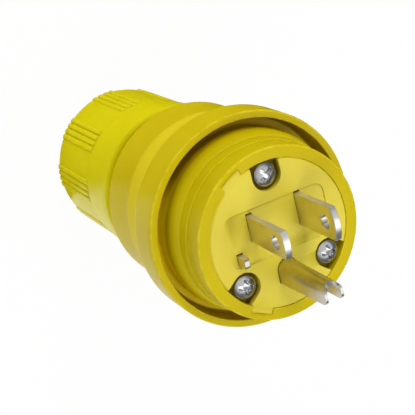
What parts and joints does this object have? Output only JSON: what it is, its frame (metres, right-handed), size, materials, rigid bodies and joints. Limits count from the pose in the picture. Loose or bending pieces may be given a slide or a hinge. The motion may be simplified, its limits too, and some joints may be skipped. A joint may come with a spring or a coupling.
{
  "type": "watertight cord plug",
  "caption": "Yellow watertight cord plug with flat blades and a U-shaped earth pin, a sealing skirt round its nose and a ribbed gland nut that squeezes a grommet onto the cord",
  "frame": {"origin": "Centre of the gland nut's flat rear face, on the plug's axis, which is the bottom of the bounding box", "axes": "+Z along the plug's axis towards the contacts, +X towards the wide neutral blade, +Y away from the earth pin"},
  "size_m": [0.0526, 0.0526, 0.1145],
  "materials": {
    "housing_yellow": "satin moulded elastomer",
    "face_yellow": "smooth moulded plastic",
    "block_grey": "moulded plastic",
    "contact_nickel": "nickel plated",
    "screw_steel": "zinc plated",
    "terminal_brass": "plain brass",
    "terminal_green": "green plating",
    "grommet_black": "soft rubber",
    "washer_white": "slippery plastic",
    "nut_yellow": "satin moulded plastic"
  },
  "bodies": {
    "plug": {"housing": "housing_yellow", "face_disc": "face_yellow", "terminal_block": "block_grey", "line_blade": "contact_nickel", "neutral_blade": "contact_nickel", "earth_pin": "contact_nickel", "tang": "contact_nickel", "assembly_screws": "screw_steel", "screw_anchors": "terminal_brass", "line_screw": "terminal_brass", "neutral_screw": "screw_steel", "earth_screw": "terminal_green", "line_clamp": "terminal_brass", "neutral_clamp": "screw_steel", "earth_clamp": "terminal_green", "cable_grommet": "grommet_black"},
    "washer": {"thrust_washer": "washer_white"},
    "nut": {"gland_nut": "nut_yellow"}
  },
  "joints": [
    {"name": "nut_travel", "type": "slide", "parent": "plug", "child": "washer", "axis": [0, 0, -1], "range_m": [0, 0.012]},
    {"name": "nut_turn", "type": "hinge", "parent": "washer", "child": "nut", "pos_m": [0, 0, 0], "axis": [0, 0, -1], "range_deg": [0, 1440]}
  ],
  "couplings": [
    {"joint": "nut_travel", "follows": "nut_turn", "m_per_rad": 0.00047746}
  ]
}
